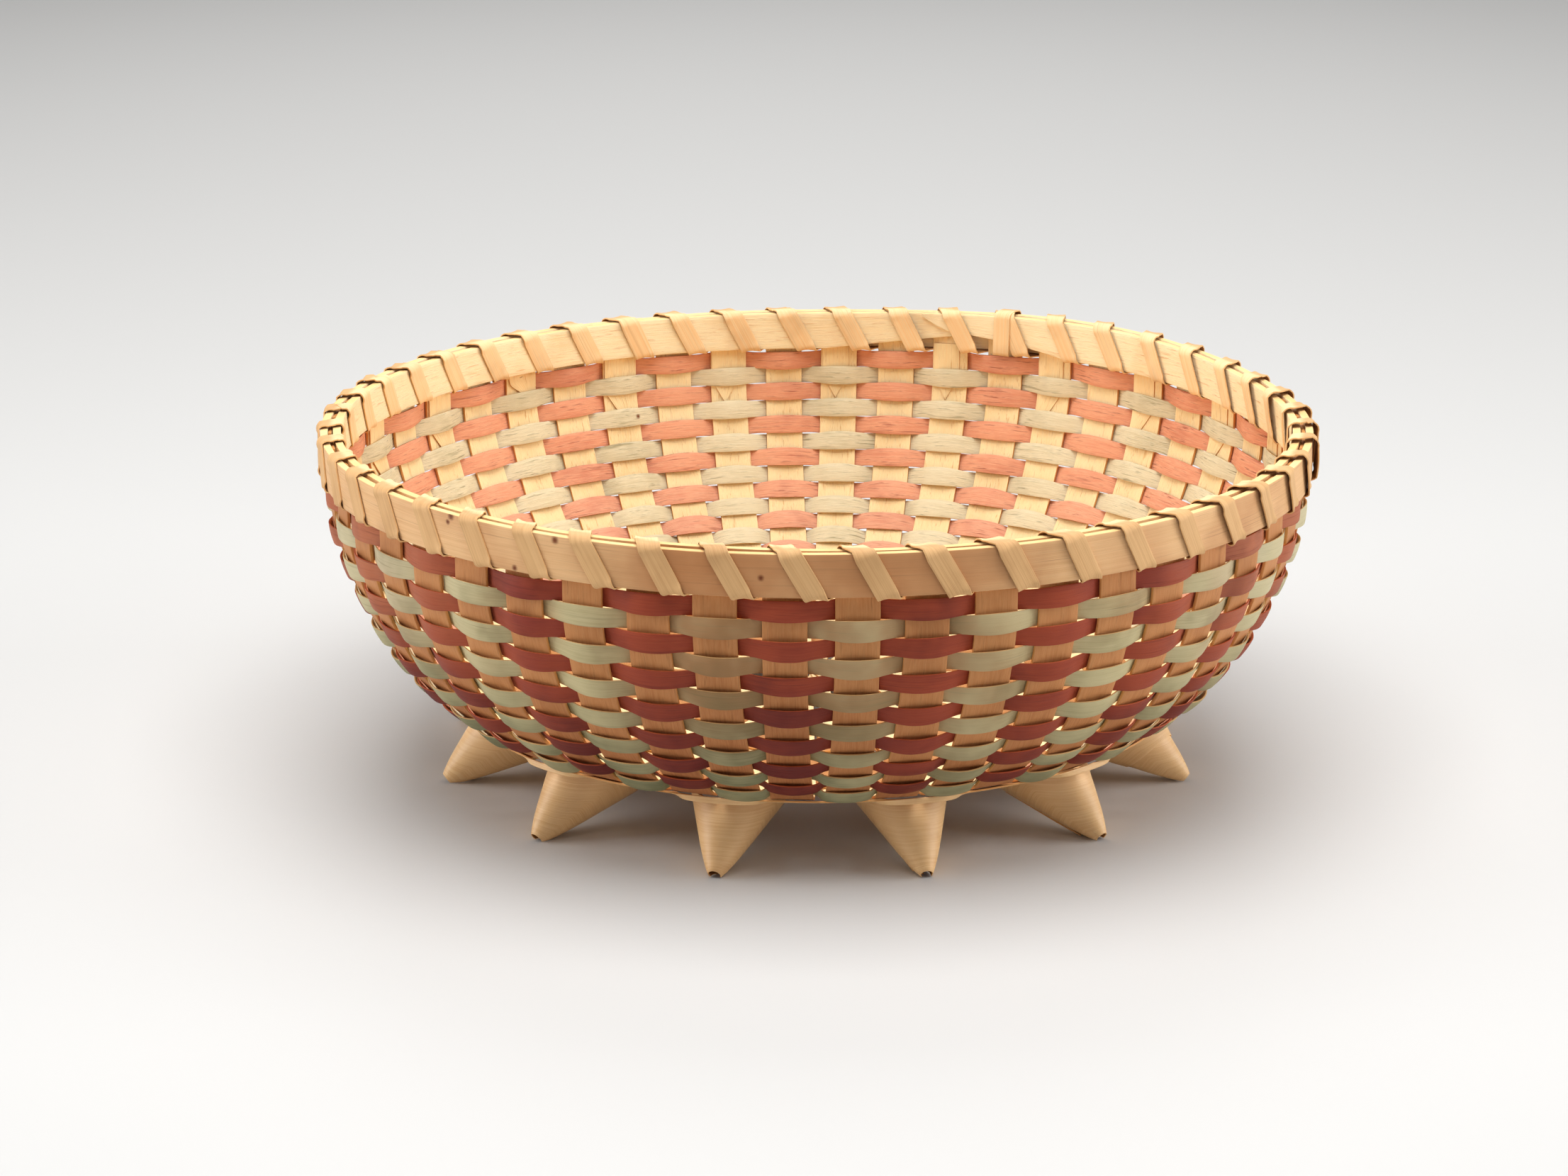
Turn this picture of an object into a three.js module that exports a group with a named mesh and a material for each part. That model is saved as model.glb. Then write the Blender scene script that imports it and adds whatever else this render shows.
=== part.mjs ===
// A round ash splint basket that stands on twelve rolled cone feet.
// Millimetres, +Z up. The origin is on the floor, in the middle of the ring of feet.
//
// How it goes together: twelve hourglass standards cross at the hub, and each of their
// ends is split in two at the edge of the base. That gives forty-eight stakes.
// Closed rows of splint pass over and under them, red and green by turns up the wall.
// Two hoops clamp the stakes at the rim, and a lashing binds them, once in each gap.

import * as THREE from 'three';
import { mergeVertices } from 'three/addons/utils/BufferGeometryUtils.js';

// Counts
const STANDARDS = 12;
const ROW_PAIRS = 7;
const FEET = 12;
const WRAPS_PER_LASHING = 24;

// Clearances between pieces that lie on each other
const WEAVE_SEAT = 0.15;
const SIDE_SEAT = 0.12;
const RIM_SEAT = 0.3;
const LASH_SEAT = 0.25;
const FOOT_SEAT = 0.3;
const ROW_GAP = 0.18;
const HUB_SEAT = 0.1;

// Standards, from the thin neck at the hub to the stakes of the wall
const STAKE_W = 10.2;
const STAKE_T = 0.8;
const STAKE_SLIT = 1.5;
const NECK_W = 3;
const NECK_T = 0.4;
const HUB_RAMP = 11;
const SPLIT_SETBACK = 4.3;

// Woven rows
const WEAVER_W = 4.58;
const WEAVER_T = 0.5;
const BASE_SPLINT_W = 13;
const BASE_SPLINT_T = 0.5;
const ROWS_PER_FACET = 3;

// Bowl: how far the wall leans in, in degrees, at the rim and at the foot of the wall
const BASE_Z = 18;
const LEAN_AT_RIM = 10;
const LEAN_AT_FOOT = 56;
const LATE_BEND = 0.59;
const TURN_LEAN = 69.5;
const BAND_W = 6.7;
const BAND_T = 0.6;

// Rim
const RIM_R = 125;
const HOOP_H = 10.2;
const OUTER_HOOP_T = 1.8;
const INNER_HOOP_T = 1.8;
const HOOP_LIFT = 1;
const STAKE_SHY = 0.6;
const SCARF_GAP = 0.25;
const OUTER_LAP_AT = 112.5;
const INNER_LAP_AT = 67.5;
const TONGUE_TIP = 0.29;
const TONGUE_RISE = 3.4;
const LASH_TOP_W = 5.9;
const LASH_GAP_W = 5;
const LASH_T = 0.45;
const LASH_SLANT = 2.8;

// Cone feet: the tip stands on the floor, and the axis rises towards the hub
const FOOT_SPREAD = 8.7;
const FOOT_RISE = 36;
const FOOT_FLARE = 20.5;
const FOOT_TIP_R = 1.3;
const FOOT_LEN = 26;
const FOOT_T = 0.6;
const FOOT_ROLL_GAP = 0.3;
const FOOT_SEAM_AT = 240;
const FOOT_TREAD = 0.75;
const FOOT_SIDES = 12;
const FOOT_LAP_SIDES = 1;

// Worked out from the sizes above
const ENDS = 2 * STANDARDS;
const STAKES = 2 * ENDS;
const STAKE_STEP = 360 / STAKES;
const END_STEP = 360 / ENDS;
const WALL_ROWS = 2 * ROW_PAIRS;
const FIRST_ROWS = WALL_ROWS % ROWS_PER_FACET || ROWS_PER_FACET;
const ROW_PITCH = WEAVER_W + ROW_GAP;
const STAKE_R = RIM_R - OUTER_HOOP_T - RIM_SEAT - STAKE_T / 2;
const WEAVE_OFFSET = STAKE_T / 2 + WEAVE_SEAT + WEAVER_T / 2;

const rad = (degrees) => THREE.MathUtils.degToRad(degrees);

const FINISHES = {
  stakeAsh: { color: 0xc89a5e, roughness: 0.62, metalness: 0 },
  rimAsh: { color: 0xb98552, roughness: 0.5, metalness: 0 },
  lashAsh: { color: 0xc2a070, roughness: 0.55, metalness: 0 },
  redAsh: { color: 0x9c4a36, roughness: 0.6, metalness: 0 },
  greenAsh: { color: 0x9b9a78, roughness: 0.6, metalness: 0 },
  baseAsh: { color: 0xcfa468, roughness: 0.62, metalness: 0 },
  coneAsh: { color: 0xc99a62, roughness: 0.5, metalness: 0 },
};

// Point at a distance out along a radius, a distance across it, and a height
function place(azimuth, out, across, z) {
  const c = Math.cos(rad(azimuth));
  const s = Math.sin(rad(azimuth));
  return new THREE.Vector3(out * c - across * s, out * s + across * c, z);
}

// Closed solids are collected as triangles and then merged

function quad(triangles, a, b, c, d) {
  triangles.push(a, b, c, a, c, d);
}

function fan(triangles, outline) {
  for (let i = 1; i < outline.length - 1; i++) {
    triangles.push(outline[0], outline[i], outline[i + 1]);
  }
}

function join(triangles, near, far) {
  for (let i = 0; i < near.length; i++) {
    const next = (i + 1) % near.length;
    quad(triangles, near[i], near[next], far[next], far[i]);
  }
}

function solid(triangles) {
  const loose = new THREE.BufferGeometry().setFromPoints(triangles);
  const merged = mergeVertices(loose, 1e-4);
  if (signedVolume(merged) < 0) {
    merged.index.array.reverse();
  }
  merged.computeVertexNormals();
  return merged;
}

function signedVolume(geometry) {
  const corner = [new THREE.Vector3(), new THREE.Vector3(), new THREE.Vector3()];
  const { index, attributes } = geometry;
  let volume = 0;
  for (let i = 0; i < index.count; i += 3) {
    corner.forEach((point, k) => point.fromBufferAttribute(attributes.position, index.getX(i + k)));
    volume += corner[0].dot(corner[1].cross(corner[2])) / 6;
  }
  return volume;
}

function closedRing(loops) {
  const triangles = [];
  loops.forEach((loop, i) => join(triangles, loop, loops[(i + 1) % loops.length]));
  return solid(triangles);
}

function openStrip(loops) {
  const triangles = [];
  for (let i = 0; i < loops.length - 1; i++) {
    join(triangles, loops[i], loops[i + 1]);
  }
  fan(triangles, [...loops[0]].reverse());
  fan(triangles, loops[loops.length - 1]);
  return solid(triangles);
}

// Profile of the bowl, down the middle of a stake's thickness

function leanAt(share) {
  const bend = (1 - LATE_BEND) * share + LATE_BEND * share * share;
  return LEAN_AT_RIM + (LEAN_AT_FOOT - LEAN_AT_RIM) * bend;
}

function stepDown(from, lean, length) {
  return {
    r: from.r - length * Math.sin(rad(lean)),
    z: from.z - length * Math.cos(rad(lean)),
  };
}

// Flat facets from the rim to the foot of the wall, each as long as the rows that it carries.
// The first one stands upright, so that the hoops lie flat against it.
function wallFacets() {
  const facets = [];
  let top = { r: STAKE_R, z: 0 };
  let first = 0;
  while (first < WALL_ROWS) {
    const rows = first === 0 ? FIRST_ROWS : ROWS_PER_FACET;
    const lean = first === 0 ? 0 : leanAt((first + rows / 2) / WALL_ROWS);
    const foot = stepDown(top, lean, rows * ROW_PITCH);
    facets.push({ first, rows, lean, top, foot });
    top = foot;
    first += rows;
  }
  const turn = { lean: TURN_LEAN, top, foot: stepDown(top, TURN_LEAN, BAND_W) };
  const lift = BASE_Z - turn.foot.z;
  for (const facet of [...facets, turn]) {
    facet.top = { r: facet.top.r, z: facet.top.z + lift };
    facet.foot = { r: facet.foot.r, z: facet.foot.z + lift };
  }
  return { facets, turn };
}

const { facets: FACETS, turn: TURN } = wallFacets();
const WALL_TOP_Z = FACETS[0].top.z;
const HOOP_FOOT_Z = WALL_TOP_Z + HOOP_LIFT;
const RIM_Z = HOOP_FOOT_Z + HOOP_H;
const BASE_R = TURN.foot.r;
const SPLIT_R = BASE_R - SPLIT_SETBACK;
const FOOT_TIP_AT = BASE_R + FOOT_SPREAD;
const NECK_R = (NECK_W / 2 + STAKE_SLIT / 2) / Math.sin(rad(END_STEP / 2));
const FLAT_R = NECK_R + HUB_RAMP;

// A stake is as wide as its splint, or as the neighbours leave room for
function stakeHalf(r) {
  const room = 2 * r * Math.tan(rad(STAKE_STEP / 2)) - STAKE_SLIT;
  return Math.min(STAKE_W, room) / 2;
}

function spokeHalf(r) {
  const boundary = rad(END_STEP / 2);
  return r * Math.tan(boundary) - STAKE_SLIT / 2 / Math.cos(boundary);
}

// Standards

// Stations of a stake from the base edge to its cut end, with the mitred thickness vector
function stakeStations() {
  const corners = [TURN.foot, TURN.top];
  const leans = [90, TURN.lean];
  for (const facet of FACETS.slice(1).reverse()) {
    corners.push(facet.top);
    leans.push(facet.lean);
  }
  corners.push({ r: STAKE_R, z: RIM_Z - STAKE_SHY });
  leans.push(0, 0);
  return corners.map((corner, i) => {
    const middle = rad((leans[i] + leans[i + 1]) / 2);
    const spread = STAKE_T / 2 / Math.cos(rad((leans[i] - leans[i + 1]) / 2));
    return {
      r: corner.r,
      z: corner.z,
      dr: spread * Math.cos(middle),
      dz: -spread * Math.sin(middle),
    };
  });
}

// Section of one stake, with its two edges named from the middle line of its standard
function stakeSection(azimuth, side, station) {
  const own = azimuth + side * STAKE_STEP / 2;
  const half = stakeHalf(station.r);
  const at = (across, face) => {
    const out = station.r + face * station.dr;
    return place(own, out, across, station.z + face * station.dz);
  };
  return [at(-half, -1), at(half, -1), at(half, 1), at(-half, 1)];
}

function plankSection(azimuth, out, half, z, thickness) {
  const at = (across, face) => place(azimuth, out, across, z - face * thickness / 2);
  return [at(-half, -1), at(half, -1), at(half, 1), at(-half, 1)];
}

function standardEnd(triangles, azimuth, hubZ) {
  const neck = plankSection(azimuth, NECK_R, NECK_W / 2, hubZ, NECK_T);
  const flat = plankSection(azimuth, FLAT_R, spokeHalf(FLAT_R), BASE_Z, STAKE_T);
  const split = plankSection(azimuth, SPLIT_R, spokeHalf(SPLIT_R), BASE_Z, STAKE_T);
  const slit = plankSection(azimuth, SPLIT_R, 0, BASE_Z, STAKE_T);
  join(triangles, neck, flat);
  fan(triangles, [flat[0], flat[1], split[1], slit[1], split[0]]);
  fan(triangles, [flat[3], split[3], slit[3], split[2], flat[2]]);
  quad(triangles, flat[1], flat[2], split[2], split[1]);
  quad(triangles, flat[3], flat[0], split[0], split[3]);
  for (const side of [-1, 1]) {
    const root = side < 0
      ? [split[0], slit[1], slit[2], split[3]]
      : [slit[0], split[1], split[2], slit[3]];
    let last = root;
    for (const station of stakeStations()) {
      const section = stakeSection(azimuth, side, station);
      join(triangles, last, section);
      last = section;
    }
    fan(triangles, last);
  }
  return neck;
}

function standard(index) {
  const azimuth = END_STEP * (index + 0.5);
  const hubZ = BASE_Z + index * (NECK_T + HUB_SEAT);
  const triangles = [];
  const near = standardEnd(triangles, azimuth, hubZ);
  const far = standardEnd(triangles, azimuth + 180, hubZ);
  join(triangles, [far[1], far[0], far[3], far[2]], near);
  return solid(triangles);
}

// Woven rows

// One closed row: over the even spokes and under the odd ones, or the other way round
function wovenRow({ spokes, half, edges, normal, offset, thickness, overOdd }) {
  const loops = [];
  for (let i = 0; i < spokes; i++) {
    const azimuth = 360 / spokes * (i + 0.5);
    const side = (i % 2 === 1) === overOdd ? 1 : -1;
    for (const end of [-1, 1]) {
      const at = (edge, face) => {
        const away = side * offset + face * thickness / 2;
        const across = end * (half(edge.r) + SIDE_SEAT);
        return place(azimuth, edge.r + away * normal.r, across, edge.z + away * normal.z);
      };
      loops.push([at(edges[0], 1), at(edges[0], -1), at(edges[1], -1), at(edges[1], 1)]);
    }
  }
  return closedRing(loops);
}

function wallRow(row) {
  const facet = FACETS.find(({ first, rows }) => row < first + rows);
  const start = (row - facet.first) * ROW_PITCH + ROW_GAP / 2;
  return wovenRow({
    spokes: STAKES,
    half: stakeHalf,
    edges: [
      stepDown(facet.top, facet.lean, start),
      stepDown(facet.top, facet.lean, start + WEAVER_W),
    ],
    normal: { r: Math.cos(rad(facet.lean)), z: -Math.sin(rad(facet.lean)) },
    offset: WEAVE_OFFSET,
    thickness: WEAVER_T,
    overOdd: row % 2 === 0,
  });
}

const BASE_PITCH = BASE_SPLINT_W + ROW_GAP;
const BASE_ROWS = Math.floor((SPLIT_R - FLAT_R) / BASE_PITCH);

function baseRow(row) {
  const outer = SPLIT_R - row * BASE_PITCH;
  return wovenRow({
    spokes: ENDS,
    half: spokeHalf,
    edges: [
      { r: outer, z: BASE_Z },
      { r: outer - BASE_SPLINT_W, z: BASE_Z },
    ],
    normal: { r: 0, z: -1 },
    offset: STAKE_T / 2 + WEAVE_SEAT + BASE_SPLINT_T / 2,
    thickness: BASE_SPLINT_T,
    overOdd: row % 2 === 0,
  });
}

// Plain rings, with a flat facing each stake

const vertexR = (flatR) => flatR / Math.cos(rad(STAKE_STEP / 2));

function flatSidedR(flatR, azimuth) {
  const fromFlat = THREE.MathUtils.euclideanModulo(azimuth, STAKE_STEP) - STAKE_STEP / 2;
  return flatR / Math.cos(rad(fromFlat));
}

function footBand() {
  const tilt = rad(TURN.lean);
  const face = (side) => STAKE_T / 2 + RIM_SEAT + side * BAND_T;
  const corner = (edge, side) => ({
    r: vertexR(edge.r + face(side) * Math.cos(tilt)),
    z: edge.z - face(side) * Math.sin(tilt),
  });
  const section = [corner(TURN.top, 1), corner(TURN.top, 0), corner(TURN.foot, 0), corner(TURN.foot, 1)];
  const loops = [];
  for (let i = 0; i < STAKES; i++) {
    loops.push(section.map(({ r, z }) => place(i * STAKE_STEP, r, 0, z)));
  }
  return closedRing(loops);
}

// A hoop is one strip whose two ends taper past each other in a scarf. The end on the inner
// side can also narrow from below to a tongue, whose tip keeps a share of the hoop's height.
function hoop(innerR, thickness, lapAt, tipShare) {
  const lap = STAKE_STEP;
  const taper = 2 * lap;
  const thinned = (thickness + SCARF_GAP) / (2 - lap / taper);
  const last = 360 + lap;
  const turns = [];
  for (let turn = 0; turn < last; turn += STAKE_STEP) {
    turns.push(turn);
    if (turn < taper || turn >= last - taper) {
      turns.push(turn + STAKE_STEP / 2);
    }
  }
  turns.push(last);
  const loops = turns.map((turn) => {
    const azimuth = lapAt + turn;
    const inner = innerR + thinned * Math.max(0, 1 - turn / taper);
    const outer = innerR + thickness - thinned * Math.max(0, 1 - (last - turn) / taper);
    const narrowed = (1 - tipShare) * Math.exp((turn - last) / TONGUE_RISE);
    const foot = HOOP_FOOT_Z + HOOP_H * narrowed;
    const at = (r, z) => place(azimuth, flatSidedR(r, azimuth), 0, z);
    return [at(inner, foot), at(outer, foot), at(outer, RIM_Z), at(inner, RIM_Z)];
  });
  return openStrip(loops);
}

const outerHoopInnerR = STAKE_R + STAKE_T / 2 + RIM_SEAT;
const innerHoopInnerR = STAKE_R - STAKE_T / 2 - RIM_SEAT - INNER_HOOP_T;

// Lashing: one strip that winds round both hoops, once through each gap between stakes

function lashSection(azimuth, face, half) {
  const at = (across, layer) => {
    const away = LASH_SEAT + layer * LASH_T;
    return place(azimuth, face.r + face.out * away, across, face.z + face.up * away);
  };
  return [at(-half, 0), at(half, 0), at(half, 1), at(-half, 1)];
}

const LASH_CORNERS = 4;

function lashingLoops(firstGap) {
  const outside = vertexR(RIM_R);
  const inside = innerHoopInnerR;
  const shift = STAKE_STEP / 2 - LASH_SLANT;
  const corners = [
    { turn: -shift / 2 - LASH_SLANT, r: outside, z: RIM_Z, out: 1, up: 1, half: LASH_TOP_W / 2 },
    { turn: -shift / 2, r: outside, z: HOOP_FOOT_Z, out: 1, up: -1, half: LASH_GAP_W / 2 },
    { turn: shift / 2, r: inside, z: HOOP_FOOT_Z, out: -1, up: -1, half: LASH_GAP_W / 2 },
    { turn: shift / 2 + LASH_SLANT, r: inside, z: RIM_Z, out: -1, up: 1, half: LASH_TOP_W / 2 },
  ];
  const loops = [];
  for (let wrap = 0; wrap < WRAPS_PER_LASHING; wrap++) {
    const gap = (firstGap + wrap) * STAKE_STEP;
    for (const corner of corners) {
      loops.push(lashSection(gap + corner.turn, corner, corner.half));
    }
  }
  return loops;
}

// The least distance between points of a winding that lie half a turn or more apart along it
function leastGap(loops, loopsPerTurn) {
  const steps = 8;
  const stations = [];
  for (let i = 0; i < loops.length - 1; i++) {
    for (let step = 0; step < steps; step++) {
      stations.push(loops[i].map((corner, k) => corner.clone().lerp(loops[i + 1][k], step / steps)));
    }
  }
  const apart = steps * loopsPerTurn / 2;
  let least = Infinity;
  for (let i = 0; i < stations.length; i++) {
    for (const other of stations.slice(i + apart, i + 3 * apart)) {
      for (const corner of stations[i]) {
        least = Math.min(least, ...other.map((point) => point.distanceTo(corner)));
      }
    }
  }
  return least;
}

// Feet: a splint rolled into a cone with a lapped seam, its mouth cut to fit the bowl

// Height of the lowest thing in the weave at a distance from the axis, less the foot's seat
function underside(r) {
  const reach = STAKE_T / 2 + RIM_SEAT + BAND_T + FOOT_SEAT;
  const slopes = [TURN, ...FACETS.slice(1).reverse()];
  const flatR = r * Math.cos(rad(STAKE_STEP / 2));
  const heights = slopes.map(({ lean, foot }) => {
    const rise = (flatR - foot.r) / Math.tan(rad(lean));
    return foot.z + rise - reach / Math.sin(rad(lean));
  });
  return Math.max(BASE_Z - reach, ...heights);
}

const ROLL_STEP = FOOT_T + FOOT_ROLL_GAP;
const FLOOR_TURN = 540 - FOOT_SEAM_AT;

// Distance from the cone's axis to its outer face (layer 1) or inner face (layer 0)
function rollRadius(along, turn, layer) {
  const flare = along * Math.tan(rad(FOOT_FLARE));
  return FOOT_TIP_R + flare + turn / 360 * ROLL_STEP - (1 - layer) * FOOT_T;
}

function footPoint(along, turn, layer) {
  const c = Math.cos(rad(FOOT_RISE));
  const s = Math.sin(rad(FOOT_RISE));
  const radius = rollRadius(along, turn, layer);
  const up = radius * Math.cos(rad(turn + FOOT_SEAM_AT));
  const across = radius * Math.sin(rad(turn + FOOT_SEAM_AT));
  const tip = rollRadius(0, FLOOR_TURN, 1);
  return new THREE.Vector3(
    FOOT_TIP_AT + tip * s - along * c + up * s,
    across,
    tip * c - FOOT_TREAD + along * s + up * c,
  );
}

// Walks along a line of the cone to where a test on the point stops being true
function walk(turn, layer, holds) {
  let low = 0;
  let high = FOOT_LEN;
  for (let i = 0; i < 40; i++) {
    const middle = (low + high) / 2;
    if (holds(footPoint(middle, turn, layer))) {
      low = middle;
    } else {
      high = middle;
    }
  }
  return high;
}

const belowFloor = (point) => point.z < 0;
const belowBowl = (point) => point.z < underside(Math.hypot(point.x, point.y));

// The tip is cut square and worn flat where it stands on the floor.
// The mouth is cut square too, and where it meets the bowl it fits under that.
function rolledCone() {
  const loops = [];
  for (let side = 0; side <= FOOT_SIDES + FOOT_LAP_SIDES; side++) {
    const turn = side * 360 / FOOT_SIDES;
    const tip = (layer) => {
      const square = footPoint(0, turn, layer);
      return belowFloor(square) ? footPoint(walk(turn, layer, belowFloor), turn, layer) : square;
    };
    const mouth = (layer) => footPoint(walk(turn, layer, belowBowl), turn, layer);
    loops.push([tip(1), tip(0), mouth(0), mouth(1)]);
  }
  return openStrip(loops);
}

// Assembly

const basket = new THREE.Group();

function addPiece(name, geometry, finish, turn = 0) {
  const mesh = new THREE.Mesh(geometry, new THREE.MeshStandardMaterial(finish));
  mesh.name = name;
  mesh.rotation.z = rad(turn);
  basket.add(mesh);
}

const twoDigits = (number) => String(number).padStart(2, '0');

for (let i = 0; i < STANDARDS; i++) {
  addPiece(`standard_${twoDigits(i + 1)}`, standard(i), FINISHES.stakeAsh);
}

for (let row = 0; row < BASE_ROWS; row++) {
  addPiece(`base_row_${row + 1}`, baseRow(row), FINISHES.baseAsh);
}

for (let row = 0; row < WALL_ROWS; row++) {
  const red = row % 2 === 0;
  const name = `${red ? 'red' : 'green'}_row_${Math.floor(row / 2) + 1}`;
  addPiece(name, wallRow(row), red ? FINISHES.redAsh : FINISHES.greenAsh);
}

addPiece('foot_band', footBand(), FINISHES.baseAsh);
const outerHoop = hoop(outerHoopInnerR, OUTER_HOOP_T, OUTER_LAP_AT, 1);
const innerHoop = hoop(innerHoopInnerR, INNER_HOOP_T, INNER_LAP_AT, TONGUE_TIP);
addPiece('outer_hoop', outerHoop, FINISHES.rimAsh);
addPiece('inner_hoop', innerHoop, FINISHES.rimAsh);

for (let first = 0; first < STAKES; first += WRAPS_PER_LASHING) {
  const name = `lashing_${first / WRAPS_PER_LASHING + 1}`;
  const loops = lashingLoops(first);
  addPiece(name, openStrip(loops), FINISHES.lashAsh);
  console.log(`${name}: least gap to itself ${leastGap(loops, LASH_CORNERS).toFixed(2)} mm`);
}

const cone = rolledCone();
for (let i = 0; i < FEET; i++) {
  addPiece(`foot_${twoDigits(i + 1)}`, cone, FINISHES.coneAsh, 360 / FEET * (i + 0.5));
}

export default basket;
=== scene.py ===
# %% [markdown]
# # An ash splint basket on rolled cone feet
#
# This lesson dresses a finished model of a basket. The model gives each piece its place and
# size. Here each piece gets the soft edges, the bulges and the grain of real wood splint.
#
# A splint is a thin ribbon of ash, split along a growth ring. Nearly everything in this basket
# is one: the upright stakes, the rows woven round them, the lashing, and even the feet.
# So one idea serves for all of them: lay a flat grid along a path, give it a thickness, and
# round its edges.

# %% Load the model
import math
import random

import bpy
import numpy as np
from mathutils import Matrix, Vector


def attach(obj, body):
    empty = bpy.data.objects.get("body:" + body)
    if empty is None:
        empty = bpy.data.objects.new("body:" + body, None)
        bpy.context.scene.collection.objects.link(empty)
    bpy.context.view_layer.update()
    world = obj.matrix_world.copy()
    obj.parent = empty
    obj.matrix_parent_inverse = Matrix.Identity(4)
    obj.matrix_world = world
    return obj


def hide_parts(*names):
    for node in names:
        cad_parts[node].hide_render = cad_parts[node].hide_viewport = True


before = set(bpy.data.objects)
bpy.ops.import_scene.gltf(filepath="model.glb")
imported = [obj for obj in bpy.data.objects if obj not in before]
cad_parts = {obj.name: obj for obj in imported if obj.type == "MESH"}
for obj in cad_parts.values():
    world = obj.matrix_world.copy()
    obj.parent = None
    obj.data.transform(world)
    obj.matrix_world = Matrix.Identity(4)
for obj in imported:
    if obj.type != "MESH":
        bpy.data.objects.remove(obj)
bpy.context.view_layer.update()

# %% [markdown]
# ## Sizes from the model
#
# Where things lie is read from the model: how far out and how high the middle of each row is,
# where the hoops end, where the floor of the basket is. Widths and thicknesses that corners
# alone don't tell are repeated here from the model's own sizes. What the model has no word
# for, such as how much a splint bulges, is named in millimetres beside its use.

# %% Read sizes from the model
MM = 0.001
STAKES = 48
ENDS = 24
STANDARDS = 12
FEET = 12
STAKE_STEP = 360 / STAKES
END_STEP = 360 / ENDS
STAKE_WIDE = 10.2 * MM
STAKE_SLIT = 1.5 * MM
STAKE_THICK = 0.8 * MM
SPLINT_THICK = 0.4 * MM

# The grain of a piece starts at a random place, up to so many metres along the ash
GRAIN_START = 50
SHORT_GRAIN_START = 9


def corners(node):
    """Distance from the basket's axis, height and azimuth of each corner of a node."""
    points = np.array([v.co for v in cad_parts[node].data.vertices])
    out = np.hypot(points[:, 0], points[:, 1])
    azimuth = np.degrees(np.arctan2(points[:, 1], points[:, 0]))
    return out, points[:, 2], azimuth


def middle(node):
    """Mean distance from the axis and mean height."""
    out, up, _ = corners(node)
    return np.array([out.mean(), up.mean()])


def reach(node):
    """Least and greatest distance from the axis, then least and greatest height."""
    out, up, _ = corners(node)
    return out.min(), out.max(), up.min(), up.max()


WALL_ROWS = [f"{dye}_row_{pair}" for pair in range(1, 8) for dye in ("red", "green")]
BASE_ROWS = [f"base_row_{row}" for row in range(1, 5)]
row_middles = np.array([middle(row) for row in WALL_ROWS])
base_z = middle("base_row_1")[1]
outer_in, outer_out, hoop_low, hoop_high = reach("outer_hoop")
inner_in, inner_out, _, _ = reach("inner_hoop")
band_in, band_out, band_low, band_high = reach("foot_band")
print(f"{len(WALL_ROWS)} wall rows, floor of the basket {base_z / MM:.1f} mm up")
print(f"rim {2 * outer_out / MM:.1f} mm across")
print(f"hoops from {hoop_low / MM:.1f} to {hoop_high / MM:.1f} mm up")

# %% [markdown]
# ## The camera and the studio
#
# The camera stands where the photographer stood: nearly a metre away, a little above the rim,
# with a long lens. Most light comes from a big soft box overhead, so the inside of the bowl is
# the brightest. Two more stand at the sides, a weak one in front, and one lights the paper
# behind. The world adds an even pale glow, so that no side falls into black. The Standard view
# shows a colour as it is lit, with no film look laid over it.

# %% Camera
PHOTO_WIDE = 2212
FOCAL_LENGTH = 5500
SENSOR = 36
CAMERA_AT = Vector((-10.9, -959.9, 331.4)) * MM
CAMERA_LOOKS = Vector((0.0027, 0.9579, -0.2871))

camera = bpy.data.objects.new("camera", bpy.data.cameras.new("camera"))
bpy.context.scene.collection.objects.link(camera)
camera.data.sensor_width = SENSOR
camera.data.lens = FOCAL_LENGTH / PHOTO_WIDE * SENSOR
camera.data.clip_start = 0.05
camera.location = CAMERA_AT
camera.rotation_mode = "QUATERNION"
camera.rotation_quaternion = CAMERA_LOOKS.to_track_quat("-Z", "Y")
bpy.context.scene.camera = camera
bpy.context.scene.view_settings.view_transform = "Standard"
print(f"lens {camera.data.lens:.1f} mm")

# %% Lamps and world
BASKET_MIDDLE = Vector((0, 0, 50)) * MM


def soft_box(name, place, wide, watts, aim=BASKET_MIDDLE):
    """A square lamp at a place, in metres, turned toward what it lights."""
    lamp = bpy.data.objects.new(name, bpy.data.lights.new(name, "AREA"))
    bpy.context.scene.collection.objects.link(lamp)
    lamp.data.shape = "SQUARE"
    lamp.data.size = wide
    lamp.data.energy = watts
    lamp.location = place
    lamp.rotation_mode = "QUATERNION"
    lamp.rotation_quaternion = (Vector(aim) - lamp.location).to_track_quat("-Z", "Y")
    print(f"{name}: {watts} W")


soft_box("overhead_box", place=(0, -0.18, 0.85), wide=0.75, watts=8.2)
soft_box("left_box", place=(-1.3, 0, 0.42), wide=0.8, watts=10)
soft_box("right_box", place=(1.3, 0, 0.42), wide=0.8, watts=11)
soft_box("front_box", place=(0.3, -1.7, 0.8), wide=0.8, watts=1)
soft_box("back_box", place=(0, 1.1, 1), wide=0.9, watts=7, aim=(0, 0.9, 0))

WHITE = (1, 1, 1, 1)
WORLD_GLOW = 0.19
world = bpy.data.worlds.new("studio")
bpy.context.scene.world = world
world.use_nodes = True
sky = world.node_tree.nodes["Background"].inputs
sky["Color"].default_value = WHITE
sky["Strength"].default_value = WORLD_GLOW

# %% [markdown]
# ## Writing materials as sums
#
# A material here is written as arithmetic. `Wire` holds one output of a node, and the signs
# + and * on it add Math nodes. `Finish` holds one material, and makes any other node. Grain
# needs little more than noise that is stretched along the splint.

# %% Wire and Finish


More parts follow.
